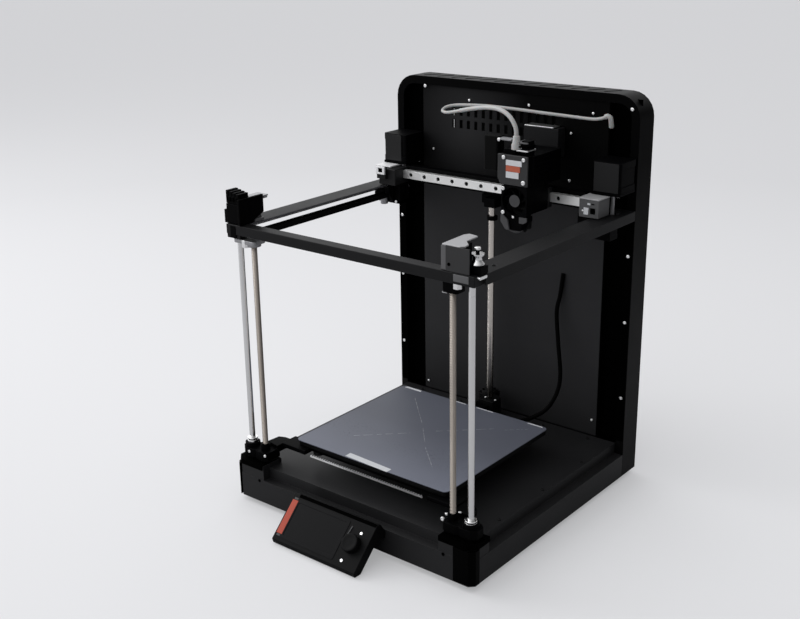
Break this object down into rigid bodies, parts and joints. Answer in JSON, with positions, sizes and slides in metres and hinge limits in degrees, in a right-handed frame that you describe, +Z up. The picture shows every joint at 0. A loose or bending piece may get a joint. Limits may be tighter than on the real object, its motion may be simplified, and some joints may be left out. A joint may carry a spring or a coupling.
{
  "type": "fdm printer",
  "caption": "Core-XY desktop 3-D printer without its panels: bed on lead screws, railed X beam, toolhead, tilted display and rear electronics box.",
  "frame": {"origin": "centre of the printer's outline on the floor, display included", "axes": "+Z up, -Y to the front where the display is, +X to the right"},
  "size_m": [0.403, 0.468, 0.55],
  "materials": {
    "powder_coat": "black satin powder coat, slight texture",
    "grey_panel": "dark grey matt powder coat",
    "black_plastic": "black moulded or printed plastic",
    "polished_steel": "ground and polished steel",
    "screw_steel": "rolled thread with a film of grease",
    "grey_metal": "grey cast metal",
    "aluminium": "bare aluminium, satin",
    "brass": "machined brass",
    "print_surface": "spring steel with a textured blue-grey coating",
    "circuit_board": "green circuit board",
    "screen": "dark glossy window",
    "pale_plastic": "pale grey translucent or moulded plastic",
    "rubber": "black rubber"
  },
  "bodies": {
    "frame": {"base_shell": "powder_coat", "bottom_plate": "powder_coat", "foot_front_left": "rubber", "foot_front_right": "rubber", "foot_rear_left": "rubber", "foot_rear_right": "rubber", "display_housing": "black_plastic", "display_screen": "screen", "rear_shell": "powder_coat", "rear_cover": "powder_coat", "inner_panel": "grey_panel", "exhaust_duct": "grey_panel", "power_supply": "aluminium", "control_board": "circuit_board", "power_inlet": "black_plastic", "front_bar": "powder_coat", "side_beam_left": "powder_coat", "side_beam_right": "powder_coat", "y_rail_left": "polished_steel", "y_rail_right": "polished_steel", "idler_bracket_left": "black_plastic", "idler_bracket_right": "black_plastic", "rod_holder_rear": "aluminium", "xy_motor_left": "black_plastic", "xy_motor_right": "black_plastic", "smooth_rod_left": "polished_steel", "smooth_rod_right": "polished_steel", "smooth_rod_rear": "polished_steel", "z_motor_left": "black_plastic", "z_motor_right": "black_plastic", "z_motor_rear": "black_plastic", "filament_tube": "pale_plastic"},
    "bed": {"print_sheet": "print_surface", "heatbed": "black_plastic", "bed_carrier": "powder_coat", "bed_bracket_left": "black_plastic", "bed_bracket_right": "black_plastic", "bed_bracket_rear": "black_plastic"},
    "gantry": {"x_beam": "powder_coat", "x_rail": "polished_steel", "y_carriage_left": "grey_metal", "y_carriage_right": "grey_metal"},
    "toolhead": {"x_bearing": "polished_steel", "toolhead_body": "black_plastic", "toolhead_cover": "black_plastic", "extruder_motor": "black_plastic", "fan_frame": "black_plastic", "hotend": "brass", "cooling_duct": "pale_plastic"},
    "drive_gear": {"drive_gear": "brass"},
    "hotend_fan": {"hotend_fan": "black_plastic"},
    "screw_left": {"lead_screw_left": "screw_steel"},
    "screw_right": {"lead_screw_right": "screw_steel"},
    "screw_rear": {"lead_screw_rear": "screw_steel"},
    "idler_left": {"front_idler_left": "polished_steel"},
    "idler_right": {"front_idler_right": "polished_steel"},
    "pulley_left": {"xy_pulley_left": "aluminium"},
    "pulley_right": {"xy_pulley_right": "aluminium"},
    "knob": {"display_knob": "black_plastic"},
    "rocker": {"power_switch": "black_plastic"}
  },
  "joints": [
    {"name": "bed_lift", "type": "slide", "parent": "frame", "child": "bed", "axis": [0, 0, 1], "range_m": [-0.002, 0.272]},
    {"name": "beam_slide", "type": "slide", "parent": "frame", "child": "gantry", "axis": [0, 1, 0], "range_m": [-0.215, 0.008]},
    {"name": "toolhead_slide", "type": "slide", "parent": "gantry", "child": "toolhead", "axis": [1, 0, 0], "range_m": [-0.199, 0.042]},
    {"name": "screw_left_turn", "type": "hinge", "parent": "frame", "child": "screw_left", "pos_m": [-0.163, -0.152, 0.2], "axis": [0, 0, 1], "continuous": true},
    {"name": "screw_right_turn", "type": "hinge", "parent": "frame", "child": "screw_right", "pos_m": [0.158, -0.152, 0.2], "axis": [0, 0, 1], "continuous": true},
    {"name": "screw_rear_turn", "type": "hinge", "parent": "frame", "child": "screw_rear", "pos_m": [-0.016, 0.175, 0.2], "axis": [0, 0, 1], "continuous": true},
    {"name": "idler_left_turn", "type": "hinge", "parent": "frame", "child": "idler_left", "pos_m": [-0.192, -0.152, 0.417], "axis": [0, 0, 1], "continuous": true},
    {"name": "idler_right_turn", "type": "hinge", "parent": "frame", "child": "idler_right", "pos_m": [0.192, -0.152, 0.417], "axis": [0, 0, 1], "continuous": true},
    {"name": "pulley_left_turn", "type": "hinge", "parent": "frame", "child": "pulley_left", "pos_m": [-0.172, 0.172, 0.4], "axis": [0, 0, 1], "continuous": true},
    {"name": "pulley_right_turn", "type": "hinge", "parent": "frame", "child": "pulley_right", "pos_m": [0.18, 0.172, 0.4], "axis": [0, 0, 1], "continuous": true},
    {"name": "drive_gear_turn", "type": "hinge", "parent": "toolhead", "child": "drive_gear", "pos_m": [0.08, 0.0902, 0.457], "axis": [0, 1, 0], "continuous": true},
    {"name": "hotend_fan_turn", "type": "hinge", "parent": "toolhead", "child": "hotend_fan", "pos_m": [0.083, 0.088, 0.4175], "axis": [0, 1, 0], "continuous": true},
    {"name": "knob_turn", "type": "hinge", "parent": "frame", "child": "knob", "pos_m": [0.045, -0.21075, 0.031], "axis": [0, -0.7033, 0.7109], "continuous": true},
    {"name": "rocker_tilt", "type": "hinge", "parent": "frame", "child": "rocker", "pos_m": [-0.105, 0.2275, 0.061], "axis": [1, 0, 0], "range_deg": [-8, 8]}
  ],
  "couplings": [
    {"joint": "screw_left_turn", "follows": "bed_lift", "rad_per_m": 785.4},
    {"joint": "screw_right_turn", "follows": "bed_lift", "rad_per_m": 785.4},
    {"joint": "screw_rear_turn", "follows": "bed_lift", "rad_per_m": 785.4},
    {"joint": "idler_left_turn", "follows": "beam_slide", "rad_per_m": 157.08},
    {"joint": "idler_right_turn", "follows": "beam_slide", "rad_per_m": -157.08},
    {"joint": "pulley_left_turn", "follows": "beam_slide", "rad_per_m": 157.08},
    {"joint": "pulley_right_turn", "follows": "beam_slide", "rad_per_m": -157.08}
  ]
}
